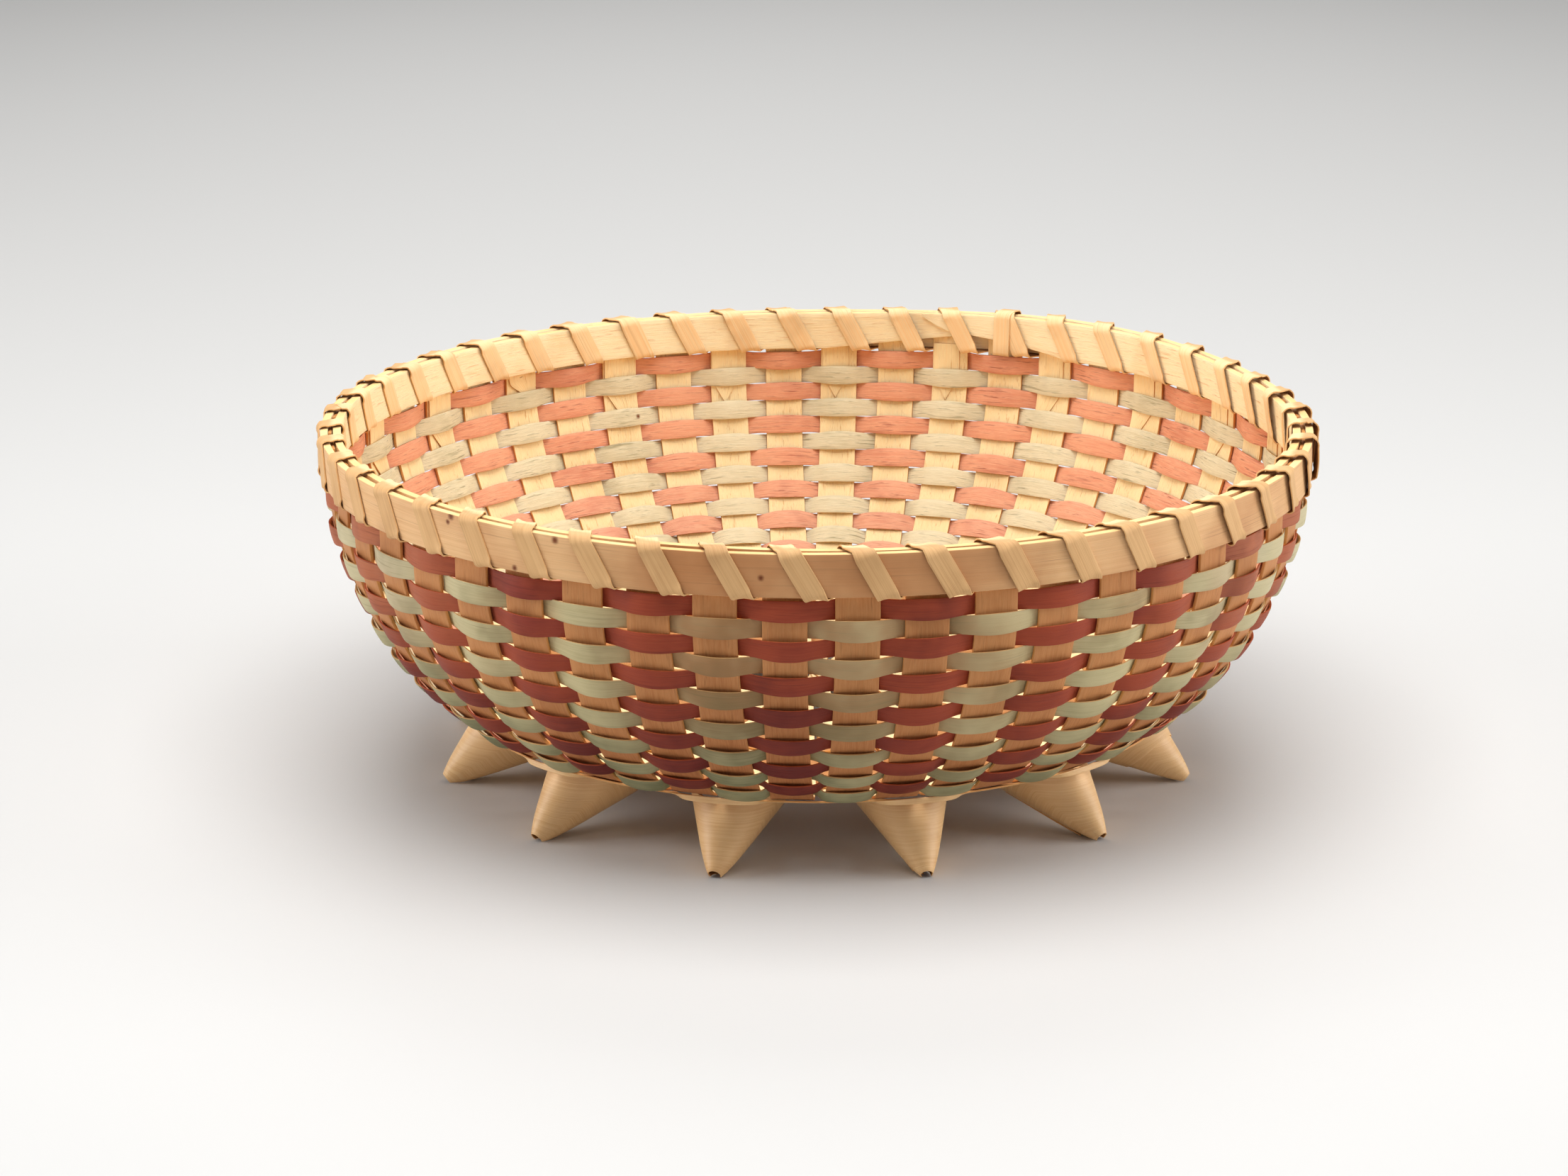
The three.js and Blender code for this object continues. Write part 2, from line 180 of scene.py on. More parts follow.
def colour(red, green, blue):
    """A colour as a painter's eye reads it, 0 to 255, turned into light."""
    def light(value):
        share = value / 255
        return share / 12.92 if share <= 0.04045 else ((share + 0.055) / 1.055) ** 2.4
    return (light(red), light(green), light(blue), 1)


class Wire:
    """One output of a node, on which sums are written as sums."""

    def __init__(self, finish, socket):
        self.finish = finish
        self.socket = socket

    def sum(self, operation, other):
        return self.finish.node("ShaderNodeMath", {"operation": operation}, {0: self, 1: other})

    def __add__(self, other):
        return self.sum("ADD", other)

    def __mul__(self, other):
        return self.sum("MULTIPLY", other)

    def between(self, low, high):
        """0 at low and beyond it, 1 at high and beyond it, and smooth between the two."""
        settings = {"interpolation_type": "SMOOTHSTEP"}
        return self.finish.node("ShaderNodeMapRange", settings,
                                {"Value": self, "From Min": low, "From Max": high})


class Finish:
    """One material, whose nodes are made by one method."""

    def __init__(self, name):
        self.material = bpy.data.materials.new(name)
        self.material.use_nodes = True
        self.tree = self.material.node_tree
        self.shader = self.tree.nodes["Principled BSDF"]

    def node(self, kind, settings=None, inputs=None, output=0):
        made = self.tree.nodes.new(kind)
        for key, value in (settings or {}).items():
            setattr(made, key, value)
        for key, value in (inputs or {}).items():
            self.connect(value, made.inputs[key])
        return Wire(self, made.outputs[output])

    def connect(self, value, socket):
        if isinstance(value, Wire):
            self.tree.links.new(value.socket, socket)
        else:
            socket.default_value = value

    def set(self, **values):
        """Sets inputs of the shader, with _ for each space in their names."""
        for key, value in values.items():
            self.connect(value, self.shader.inputs[key.replace("_", " ")])

    def noise(self, vector, detail, roughness=0.5, scale=1):
        inputs = {"Vector": vector, "Scale": scale, "Detail": detail, "Roughness": roughness}
        return self.node("ShaderNodeTexNoise", None, inputs)

    def fibres(self, vector, along, across, detail, roughness):
        """Noise that changes so many times a metre along the splint and across it."""
        inputs = {"Vector": vector, "Scale": (along, across, 1)}
        return self.noise(self.node("ShaderNodeMapping", None, inputs), detail, roughness)

    def mix(self, share, first, second):
        """first where share is 0 and second where it is 1."""
        settings = {"data_type": "RGBA"}
        return self.node("ShaderNodeMix", settings, {0: share, 6: first, 7: second}, output=2)


# %% [markdown]
# ## Splint finishes
#
# Split ash is never one colour. Fine fibres run along it, darker growth lines show now and
# then, and the tone drifts over a hand's width. Dye sinks in unevenly: it is darker along
# some fibres and worn pale on others. The face that was scraped is smooth, and the face that
# was only split is fibrous. The cut edges take less of the dye.
#
# The fibres read the piece's own UV map, which is laid out in metres, along and across the
# splint. So they are the same size on every piece, and turn with it round a cone. The rest
# reads the place on the basket instead: painted shade on the front and on the rows low down,
# a painted sheen on the upper rows at the sides, painted light in the bowl, and the dark knots.

# %% Splint finish
KNOT = colour(116, 60, 30)
BUMP_STRENGTH = 0.7
BUMP_DEEP = 0.2 * MM

# How many times a metre each noise changes across the splint, or over the basket
FINE_ACROSS = 3600
STREAK_ACROSS = 1300
BROAD_ACROSS = 500
PATCHES_SCALE = 46
STAINS_SCALE = 31
SLOW_SCALE = 13

# Values of a noise between which one tone gives way to the next
SOFT_GRAIN = (0.34, 0.66)
DARK_STREAKS = (0.55, 0.72)
DARK_FIBRES = (0.56, 0.7)
DARK_BANDS = (0.6, 0.72)
STAINED_PATCHES = (0.48, 0.66)
WORN_PATCHES = (0.4, 0.75)
WORN_STRETCHES = (0.35, 0.7)
DEEP_PATCHES = (0.5, 0.25)
ROUGH_FIBRES = (0.2, 0.8)

# Places on the basket between which a painted tone comes in, in metres: painted shade on the
# front, a painted sheen at the sides, painted shading low down and painted light in the bowl.
# SIDEWAYS ones are squared
FRONT_SHADE_SIDEWAYS = (0.0045, 0.0018)
FRONT_SHADE_FORWARD = (0, -0.05)
SIDE_SHEEN_SIDEWAYS = (0.006, 0.0135)
SIDE_SHEEN_UP = (0.03, 0.07)
LOW_SHADING_UP = (0.078, 0.036)
INSIDE_LIGHT_OUT = (0.1235, 0.1215)


def splint_finish(name, pale, tone, deep, stain=None, low=None, inside=None, browned=0,
                  knots=(), fibre=0.5, shine=0.55, line=0.35, drift=0.5, along=60, gloss=0.22,
                  faded=None):
    """Wood splint in three tones. Colours here are red, green and blue from 0 to 255.

    stain is a colour that some patches lean to, and browned how far the front leans to it, as
    painted shade. faded is a painted sheen that the upper rows lean to at the two sides. low
    holds two tones for the rows low down, painted shade where darker and painted light where
    paler, and inside two paler ones, painted light, for what lies in the bowl.

    fibre is how rough the face is, from 0 to 1, along is how many times a metre the fibres
    change along the splint, line is how dark the growth lines are, drift is how far the
    patches go, shine is the least roughness and gloss how strong the reflection is."""
    finish = Finish(name)
    pale, tone, deep = (colour(*shade) for shade in (pale, tone, deep))
    metres = finish.node("ShaderNodeTexCoord", output="UV")
    place = finish.node("ShaderNodeTexCoord", output="Object")
    fine = finish.fibres(metres, along, FINE_ACROSS, detail=4, roughness=0.65)
    streak = finish.fibres(metres, along * 0.7, STREAK_ACROSS, detail=3, roughness=0.7)
    broad = finish.fibres(metres, along / 3, BROAD_ACROSS, detail=3, roughness=0.6)
    patches = finish.noise(place, scale=PATCHES_SCALE, detail=3, roughness=0.6)
    stains = finish.noise(place, scale=STAINS_SCALE, detail=2)
    slow = finish.noise(place, scale=SLOW_SCALE, detail=2)

    grain = fine.between(*SOFT_GRAIN) * 0.45 + streak.between(*SOFT_GRAIN) * 0.55
    body = finish.mix(grain, tone, pale)
    x, y, height = (finish.node("ShaderNodeSeparateXYZ", None, {"Vector": place}, output=k)
                    for k in range(3))
    # Painted shade: the front leans to the stain colour, while random patches all round lean to it
    # as real stains.
    if stain is not None:
        stain = colour(*stain)
        front_shade_mask = (x * x + slow * 0.002).between(*FRONT_SHADE_SIDEWAYS) * y.between(*FRONT_SHADE_FORWARD)
        body = finish.mix(front_shade_mask * browned, body, stain)
        body = finish.mix(stains.between(*STAINED_PATCHES) * 0.55, body, stain)
    # A painted sheen: the upper rows at the two sides lean to a paler tone.
    if faded is not None:
        side_sheen_mask = (x * x + slow * 0.003).between(*SIDE_SHEEN_SIDEWAYS) * height.between(*SIDE_SHEEN_UP)
        body = finish.mix(side_sheen_mask * 0.42, body, colour(*faded))
    # The rows low down lean to the low tones: painted shade where these are darker, painted light
    # where they are paler.
    if low is not None:
        low_shading_mask = (height + slow * 0.03).between(*LOW_SHADING_UP)
        body = finish.mix(low_shading_mask, body, finish.mix(grain, *(colour(*shade) for shade in low)))
    # Painted light: what lies in the bowl, nearer the axis than the rim, leans to paler tones.
    if inside is not None:
        inside_light_mask = (x * x + y * y).between(*(out**2 for out in INSIDE_LIGHT_OUT))
        facing = finish.mix(grain, *(colour(*shade) for shade in inside))
        body = finish.mix(inside_light_mask, body, facing)
    body = finish.mix(streak.between(*DARK_STREAKS) * line, body, deep)
    body = finish.mix(fine.between(*DARK_FIBRES) * (0.6 * line), body, deep)
    body = finish.mix(broad.between(*DARK_BANDS) * (0.7 * line), body, deep)
    worn = patches.between(*WORN_PATCHES) * 0.6 + slow.between(*WORN_STRETCHES) * 0.4
    body = finish.mix(worn * drift, body, pale)
    body = finish.mix(patches.between(*DEEP_PATCHES) * (0.6 * drift), body, deep)

    for azimuth, *millimetres in knots:
        turn = math.radians(azimuth)
        out, up, size = (value * MM for value in millimetres)
        centre = (out * math.cos(turn), out * math.sin(turn), up)
        away = finish.node("ShaderNodeVectorMath", {"operation": "DISTANCE"},
                           {0: place, 1: centre}, output=1)
        spot = (away + fine * (0.6 * size)).between(1.5 * size, 0.5 * size)
        body = finish.mix(spot, body, KNOT)

    relief = fine * fibre + streak * (0.9 * fibre)
    bump = finish.node("ShaderNodeBump", None, {"Strength": BUMP_STRENGTH,
                                               "Distance": BUMP_DEEP, "Height": relief})
    finish.set(Base_Color=body, Normal=bump, Specular_IOR_Level=gloss,
               Roughness=fine.between(*ROUGH_FIBRES) * 0.16 + shine)
    return finish.material


# The split face can have low tones of its own, paler on the red: painted light low in the bowl.
def splint_faces(name, scraped, split, edge, split_low_painted_light=None, knots=(), shine=0.52, line=0.35,
                 **settings):
    """Scraped outer face, split inner face and cut edge of one splint, in three tones each."""
    return [
        splint_finish(f"{name}_scraped", *scraped, fibre=0.45, shine=shine, line=line,
                      knots=knots, **settings),
        splint_finish(f"{name}_split", *split, low=split_low_painted_light, fibre=1, shine=shine + 0.1,
                      line=min(1, 2 * line), along=150, knots=knots, gloss=0.18),
        splint_finish(f"{name}_edge", *edge, fibre=0.3),
    ]


# Each small dark knot: azimuth in degrees, then distance from the axis, height and size in
# millimetres
HOOP_KNOTS = [(-96.3, 125, 83.3, 0.9), (-118.9, 125, 87.9, 1.1), (-133.1, 125, 88.5, 1.2),
              (-133.6, 125, 86.9, 0.8), (-124.1, 125, 79.6, 0.9)]
LASH_KNOTS = [(68.2, 119.3, 89.3, 0.6)]
SAGE_KNOTS = [(114.3, 119.4, 61.7, 0.8)]

# Where a split face looks into the bowl, on the stakes, the rows and the inner hoop, it is much
# paler than the scraped face: partly the wood's own difference, partly painted light in the bowl
# and painted shade outside.
RED = splint_faces(
    "red_dye",
    scraped=((164, 72, 44), (133, 50, 31), (84, 25, 20)),
    split=((242, 178, 140), (220, 136, 102), (154, 70, 54)),
    edge=((190, 96, 56), (162, 68, 38), (112, 38, 24)),
    # Darker tones low down: painted shade.
    stain=(112, 36, 40), low=((78, 20, 22), (108, 34, 30)),
    # Paler split tones low in the bowl: painted light.
    split_low_painted_light=((220, 150, 124), (242, 192, 162)), line=0.65, drift=0.8,
    # A paler tone for the upper rows at the sides: painted sheen.
    faded=(226, 156, 108))
GREEN = splint_faces(
    "sage_dye",
    scraped=((202, 188, 144), (166, 152, 108), (116, 102, 66)),
    split=((238, 226, 192), (210, 194, 154), (134, 122, 82)),
    edge=((222, 184, 126), (196, 152, 96), (150, 106, 62)),
    # Darker tones low down: painted shade.
    # The front leans brown: painted shade.
    stain=(158, 110, 68), low=((100, 102, 72), (134, 134, 98)), browned=0.95,
    # A paler tone for the upper rows at the sides: painted sheen.
    line=0.6, drift=0.8, knots=SAGE_KNOTS, faded=(224, 216, 186))
STAKE = splint_faces(
    "stake",
    scraped=((206, 146, 92), (184, 118, 68), (140, 82, 42)),
    split=((255, 234, 184), (254, 218, 156), (222, 168, 100)),
    edge=((224, 164, 100), (200, 134, 74), (160, 98, 48)),
    # Darker tones low down: painted shade.
    low=((154, 92, 52), (184, 120, 74)), line=0.55)
BASE = splint_faces(
    "base",
    scraped=((250, 208, 146), (240, 184, 116), (192, 134, 74)),
    split=((204, 146, 92), (184, 120, 68), (142, 88, 46)),
    edge=((228, 172, 108), (208, 146, 84), (170, 108, 56)))
HOOP = splint_faces(
    "hoop",
    scraped=((238, 194, 142), (216, 166, 114), (160, 108, 66)),
    split=((255, 240, 200), (255, 226, 172), (230, 180, 120)),
    edge=((255, 222, 160), (248, 202, 134), (210, 150, 86)),
    # The front leans brown: painted shade.
    stain=(184, 122, 74), browned=0.9, shine=0.46, line=0.65, along=25, knots=HOOP_KNOTS)
LASH = splint_faces(
    "lash",
    scraped=((228, 184, 130), (202, 154, 102), (160, 112, 66)),
    # A dark split face, partly the wood's own browner tone, partly painted shade where it shows
    # under the lifted edges.
    split=((158, 108, 64), (130, 84, 46), (96, 58, 30)),
    edge=((238, 194, 136), (210, 158, 100), (158, 106, 62)),
    # Paler tones for the lashing in the bowl: painted light.
    inside=((250, 204, 146), (255, 228, 180)), line=0.35, along=40, knots=LASH_KNOTS)
CONE = splint_faces(
    "cone",
    scraped=((250, 208, 150), (228, 176, 116), (188, 132, 80)),
    split=((206, 146, 86), (180, 118, 66), (144, 90, 48)),
    edge=((240, 190, 128), (220, 162, 100), (184, 126, 72)),
    shine=0.36, line=0.15, along=40, gloss=0.5)
print("materials:", [m.name for m in bpy.data.materials if m.use_nodes])

# %% [markdown]
# ## One helper for every splint
#
# `lay_grid` adds Blender's own grid and moves its corners to a path that a function gives. The
# rim of the photographed basket isn't level: at the back on the right it stands about two
# millimetres higher. `settle` bends every piece alike, so they still fit one another.
# `make_splint` then merges the seam of a closed ring, gives the sheet its thickness, with one
# material for the outer face, one for the inner face and one for the cut edge, and rounds the
# edges. The UV map is scaled into metres first.

# %% Grids and splints
CELLS_ACROSS = 4
BEVEL_ANGLE = 50
SMOOTH_ANGLE = 55

# Where the wall has warped and how far to each side, in degrees, and how much it rises
WARP_AT = 50
WARP_REACH = 42
WARP_RISE = 2.3 * MM

# A cupped strip crosses its own middle surface where v squared is this
CUP_LEVEL = 0.4


def settle(points):
    """Raises the wall a little where the bowl has warped, more toward the rim."""
    azimuth = np.degrees(np.arctan2(points[:, 1], points[:, 0]))
    away = np.clip(np.abs((azimuth - WARP_AT + 180) % 360 - 180) / WARP_REACH, 0, 1)
    share = np.clip((points[:, 2] - base_z) / (hoop_high - base_z), 0, 1)
    points[:, 2] += WARP_RISE * np.cos(away * math.pi / 2) ** 2 * share
    return points


def select_only(piece):
    bpy.ops.object.select_all(action="DESELECT")
    piece.select_set(True)
    bpy.context.view_layer.objects.active = piece


def lay_grid(name, columns, rows, place, long, wide, slide=(0, 0), thin=None):
    """A grid whose corners are laid by place(along, across), with along and across in 0..1.

    Its UV map is long by wide, moved by slide. thin(along, across) gives each corner a share
    of the thickness, from 0 for least to 1."""
    bpy.ops.mesh.primitive_grid_add(x_subdivisions=columns, y_subdivisions=rows, size=1)
    piece = bpy.context.object
    piece.name = name
    piece.data.name = name
    flat = np.empty(3 * len(piece.data.vertices))
    piece.data.vertices.foreach_get("co", flat)
    flat = flat.reshape(-1, 3) + 0.5
    piece.data.vertices.foreach_set("co", settle(place(flat[:, 0], flat[:, 1])).ravel())
    if thin is not None:
        group = piece.vertex_groups.new(name="thin")
        for index, share in enumerate(thin(flat[:, 0], flat[:, 1])):
            group.add([index], float(share), "REPLACE")
    laid = piece.data.uv_layers.active.data
    uv = np.empty(2 * len(laid))
    laid.foreach_get("uv", uv)
    uv = uv.reshape(-1, 2) * (long, wide) + slide
    laid.foreach_set("uv", uv.ravel())
    piece.data.update()
    return piece


def modify(piece, kind, **settings):
    """Adds a modifier and applies it."""
    select_only(piece)
    modifier = piece.modifiers.new(kind, kind)
    for key, value in settings.items():
        setattr(modifier, key, value)
    bpy.ops.object.modifier_apply(modifier=modifier.name)


def merge_seams(piece, gap=0.02 * MM):
    select_only(piece)
    bpy.ops.object.mode_set(mode="EDIT")
    bpy.ops.mesh.select_all(action="SELECT")
    bpy.ops.mesh.remove_doubles(threshold=gap)
    bpy.ops.object.mode_set(mode="OBJECT")


def make_splint(piece, materials, thick, closed=False, edge=0.12 * MM, least=0.5):
    """Thickness and soft edges. least is the share of the thickness where thin was 0."""
    for material in materials:
        piece.data.materials.append(material)
    if closed:
        merge_seams(piece)
    settings = {"thickness": thick, "offset": 0, "material_offset": 1, "material_offset_rim": 2}
    if "thin" in piece.vertex_groups:
        settings.update(vertex_group="thin", thickness_vertex_group=least)
    modify(piece, "SOLIDIFY", **settings)
    modify(piece, "BEVEL", width=edge, segments=2, limit_method="ANGLE",
           angle_limit=math.radians(BEVEL_ANGLE))
    bpy.ops.object.shade_smooth_by_angle(angle=math.radians(SMOOTH_ANGLE))
    return piece


def hand_in(piece, node):
    """Makes a piece ride on the basket and stand for the node that it replaces."""
    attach(piece, "root")
    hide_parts(node)
    print(f"{piece.name}: {len(piece.data.polygons)} faces")


def around(azimuth, out, across, up):
    """Corners at a distance out along a radius and a distance across it, at a height."""
    turn = np.radians(azimuth)
    return np.stack([out * np.cos(turn) - across * np.sin(turn),
                     out * np.sin(turn) + across * np.cos(turn),
                     up + 0 * turn], axis=-1)


def unit(ways):
    """Directions, one in each row, made one long."""
    return ways / np.linalg.norm(ways, axis=1)[:, None]


def lay_strip(name, spine, facing, half, cup=0.0, twist=0.0, slide=(0, 0)):
    """A strip of splint along a line of points, whose outer face looks along facing.

    half is half its width, cup raises both its edges, and twist raises one and lowers the
    other."""
    ahead = unit(np.gradient(spine, axis=0))
    sideways = unit(np.cross(facing, ahead))
    facing = np.cross(ahead, sideways)
    last = len(spine) - 1
    twist = np.broadcast_to(twist, half.shape)

    def place(along, across):
        index = np.rint(along * last).astype(int)
        v = (2 * across - 1)[:, None]
        lift = cup * (v**2 - CUP_LEVEL) + twist[index, None] * v
        return spine[index] + sideways[index] * v * half[index, None] + facing[index] * lift

    long = np.linalg.norm(np.diff(spine, axis=0), axis=1).sum()
    return lay_grid(name, last, CELLS_ACROSS, place, long, 2 * half.max(), slide=slide)


def join_pieces(first, *others):
    select_only(first)
    for piece in others:
        piece.select_set(True)
    bpy.ops.object.join()
    return first


def smooth_path(points, at):
    """Points on a cubic B-spline that follows a list. at counts from 0 to its last point."""
    points = np.asarray(points, float)
    padded = np.vstack([2 * points[0] - points[1], points, 2 * points[-1] - points[-2]])
    whole = np.clip(np.floor(at).astype(int), 0, len(points) - 2)
    t = (at - whole)[:, None]
    a, b, c, d = (padded[whole + k] for k in range(4))
    return ((1 - t) ** 3 * a + (3 * t**3 - 6 * t**2 + 4) * b
            + (-3 * t**3 + 3 * t**2 + 3 * t + 1) * c + t**3 * d) / 6


# %% [markdown]
# ## The stakes
#
# A basket like this starts with twelve long splints, the standards, laid across each other at
# the hub. They are shaved thin and narrow there, so that twelve layers still lie low. At the
# edge of the base each end is split in two and turned up, and the wall has forty-eight stakes.
#
# Each half of a standard is one grid from rim to rim, and two halves share the line down the
# middle of the base. Merging that line leaves the split ends free.

# %% Profile of the bowl
STAKE_SHY = 0.6 * MM

# The floor turns up at the foot band. It starts and bends this far inside the band's inner
# face, and the wall begins this far inside its outer face, and so much higher
TURN_START = 3.2 * MM
TURN_INSIDE = 0.4 * MM
TURN_OUTSIDE = 0.7 * MM
TURN_RISE = 1.6 * MM

# The knot of the profile at the lowest row, and how far to each side a slope is measured
FIRST_ROW_KNOT = 3
SLOPE_STEP = 0.3

stake_out = row_middles[0][0]
wall = np.array([(band_in - TURN_START, base_z), (band_in - TURN_INSIDE, base_z),
                 (band_out - TURN_OUTSIDE, base_z + TURN_RISE), *row_middles[::-1],
                 (stake_out, hoop_low), (stake_out, (hoop_low + hoop_high) / 2),
                 (stake_out, hoop_high - STAKE_SHY)])
print(f"profile of the bowl: {len(wall)} points")


def row_place(row):
    """Middle of a wall row on the smooth profile, and the directions up the wall and out of it."""
    knot = np.array([FIRST_ROW_KNOT + len(WALL_ROWS) - 1 - row], float)
    here = smooth_path(wall, knot)[0]
    up = smooth_path(wall, knot + SLOPE_STEP)[0] - smooth_path(wall, knot - SLOPE_STEP)[0]
    up /= np.linalg.norm(up)
    return here, up, np.array([up[1], -up[0]])


def stake_half(out):
    """Half the width of a stake, at a distance from the axis."""
    room = out * math.tan(math.radians(STAKE_STEP / 2)) - STAKE_SLIT / 2
    return np.minimum(STAKE_WIDE / 2, room)


def spoke_half(out):
    """Half the width of a whole standard in the base, at a distance from the axis."""
    edge = math.radians(END_STEP / 2)
    return out * math.tan(edge) - STAKE_SLIT / 2 / math.cos(edge)


# %% Standards
NECK_WIDE = 3 * MM
NECK_THICK = 0.4 * MM
HUB_LAYER = 0.5 * MM
HUB_RAMP = 11 * MM
SPLIT_SETBACK = 5 * MM
STANDARD_STEPS = 150
STANDARD_GRAIN_APART = 7.3
STAKE_LEAN = 0.25 * MM
LEAN_WAVE = 3
neck_out = (NECK_WIDE + STAKE_SLIT) / 2 / math.sin(math.radians(END_STEP / 2))
flat_out = neck_out + HUB_RAMP
split_out = band_in - SPLIT_SETBACK


def standard_profile(index):
    """From the hub to the cut end: distance out and height."""
    hub_z = base_z + index * HUB_LAYER
    hub = [(0, hub_z), (neck_out / 2, hub_z), (neck_out, hub_z), (flat_out, base_z)]
    floor = [(flat_out + share * (wall[0][0] - flat_out), base_z) for share in (0.25, 0.5, 0.75)]
    return np.array([*hub, *floor, *wall])


def past_hub(out):
    """0 at the narrow neck of a standard, and 1 where it lies flat on the floor."""
    return np.clip((out - neck_out) / (flat_out - neck_out), 0, 1)


def half_standard(index, side):
    """One half of a standard, from rim to rim. side is -1 or 1 across its middle line."""
    profile = standard_profile(index)
    knots = len(profile) - 1
    azimuth = END_STEP * (index + 0.5)
    drawn = random.Random(f"stake {index} {side}")
    lean = [drawn.uniform(-STAKE_LEAN, STAKE_LEAN) for _ in range(4)]

    def place(along, across):
        end = np.where(along < 0.5, -1, 1)
        reach_out = np.abs(along - 0.5) * 2 * knots
        out, up = smooth_path(profile, reach_out).T
        widest = spoke_half(np.maximum(out, flat_out))
        half = NECK_WIDE / 2 + (widest - NECK_WIDE / 2) * past_hub(out)
        far = azimuth + np.where(end < 0, 180, 0)
        hand = side * end
        across = 1 - across if side > 0 else across
        whole = around(far, out, hand * across * half, up)
        bend = np.sin(LEAN_WAVE * reach_out / knots)
        sway = np.where(end < 0, lean[0] + lean[2] * bend, lean[1] + lean[3] * bend)
        forked = around(far + hand * STAKE_STEP / 2, out,
                        hand * (2 * across - 1) * stake_half(out) + sway, up)
        parted = np.clip((out - split_out) / (wall[1][0] - split_out), 0, 1)[:, None]
        return whole * (1 - parted) + forked * parted

    def thin(along, across):
        return past_hub(smooth_path(profile, np.abs(along - 0.5) * 2 * knots)[:, 0])

    slide = (STANDARD_GRAIN_APART * index, STAKE_WIDE if side > 0 else 0)
    return lay_grid(f"half_{index}_{side}", STANDARD_STEPS, CELLS_ACROSS, place, 4 * stake_out,
                    -STAKE_WIDE, slide=slide, thin=thin)


# Every second stake is longer: it is pared down, folded over the rim and tucked in along the
# inside of the wall. At the back it ends in a point, and elsewhere the cut slants
FOLD_HALF = 3.7 * MM
FOLD_THICK = 0.34 * MM
FOLD_STEPS = 40
FOLD_TOP = 1.5 * MM
FOLD_SEAT = 0.06 * MM
FOLD_TIP_LOW = (1.6 * MM, 3.0 * MM)
FOLD_TIP_HALF = 0.05 * MM
FOLD_TAPER = 0.55
FOLD_ASIDE = 1.2 * MM
FOLD_STRAY = 0.3 * MM
FOLD_TWIST = 0.12 * MM
SLANT_TAPER = 0.28
SLANT_TIP_SHARE = 0.35
BACK = 85
BACK_REACH = 25
SHORT_FOLD_AT = 131.25
SHORT_ROW, POINTED_ROW, SLANTED_ROW = 1, 2, 3

wall_line = smooth_path(wall, np.linspace(0, len(wall) - 1, 600))
wall_tilt = unit(np.gradient(wall_line, axis=0))


def folded_end(azimuth):
    """The folded end of the stake at an azimuth, from under the hoops down to its tip."""
    drawn = random.Random(f"fold {azimuth}")
    row = POINTED_ROW
    slanted = 0
    if abs(azimuth - BACK) > BACK_REACH:
        row = SLANTED_ROW
        slanted = 1 if (azimuth - BACK) % 360 > 180 else -1
    if abs(azimuth - SHORT_FOLD_AT) < 1:
        row = SHORT_ROW
    tip = row_middles[row][1]
    if row == POINTED_ROW:
        tip = tip - drawn.uniform(*FOLD_TIP_LOW)
    up = np.linspace(hoop_low + FOLD_TOP, tip, FOLD_STEPS)
    rise = wall_line[:, 1]
    tilt = np.stack([np.interp(up, rise, wall_tilt[:, k]) for k in range(2)], axis=1)
    seat = (STAKE_THICK + FOLD_THICK) / 2 + FOLD_SEAT
    inward = np.stack([-tilt[:, 1], tilt[:, 0]], axis=1) * seat
    out = np.interp(up, rise, wall_line[:, 0]) + inward[:, 0]
    if row == SLANTED_ROW:
        half = np.minimum(SLANT_TAPER * (up - tip) + SLANT_TIP_SHARE * FOLD_HALF, FOLD_HALF)
    else:
        half = np.clip(FOLD_TAPER * (up - tip), FOLD_TIP_HALF, FOLD_HALF)
    aside = FOLD_ASIDE + drawn.uniform(-FOLD_STRAY, FOLD_STRAY) + (FOLD_HALF - half) * slanted
    spine = around(azimuth, out, aside, up + inward[:, 1])
    facing = around(azimuth, inward[:, 0], 0, inward[:, 1])
    fold = lay_strip("fold", spine, facing, half, twist=-FOLD_TWIST,
                     slide=(drawn.uniform(0, GRAIN_START), 0))
    return make_splint(fold, [STAKE[1], STAKE[0], STAKE[2]], FOLD_THICK, edge=0.05 * MM)


for index in range(STANDARDS):
    standard = join_pieces(*(half_standard(index, side) for side in (-1, 1)))
    standard.name = f"splint_standard_{index + 1:02d}"
    merge_seams(standard)
    make_splint(standard, STAKE, STAKE_THICK, least=NECK_THICK / STAKE_THICK)
    folds = [folded_end(END_STEP * (index + 0.5) + STAKE_STEP / 2 + far) for far in (0, 180)]
    join_pieces(standard, *folds)
    hand_in(standard, f"standard_{index + 1:02d}")

# %% [markdown]
# ## The woven rows
#
# A row passes over one stake and under the next. Over a stake it bulges, because it was
# pushed tight while it was damp, and in the gap it swings to the other side. The curve is a
# low arch over each stake, joined by a smooth step in each gap. Every row drifts a little up
# and down, and no two floats are quite as wide, as on anything made by hand.

# %% Weave
WEAVE_SEAT = 0.14 * MM
SIDE_SEAT = 0.25 * MM
STEPS_PER_STAKE = 16
FLOAT_WIDE = 5.25 * MM
FLOAT_CROWN = 0.16 * MM
FLOAT_BULGE = 0.75 * MM
BULGE_SHARES = (0.65, 1.3)
CROSSING_WIDE = 4.6 * MM
WIDENING = 1.5
ROW_WANDER = 0.1 * MM
ROW_EDGE = 0.1 * MM

# A row's middle lies this far from the middle of the stake that it passes
ROW_SEAT = (STAKE_THICK + SPLINT_THICK) / 2 + WEAVE_SEAT

# A little more than a full turn, in radians
ANY_PHASE = 7


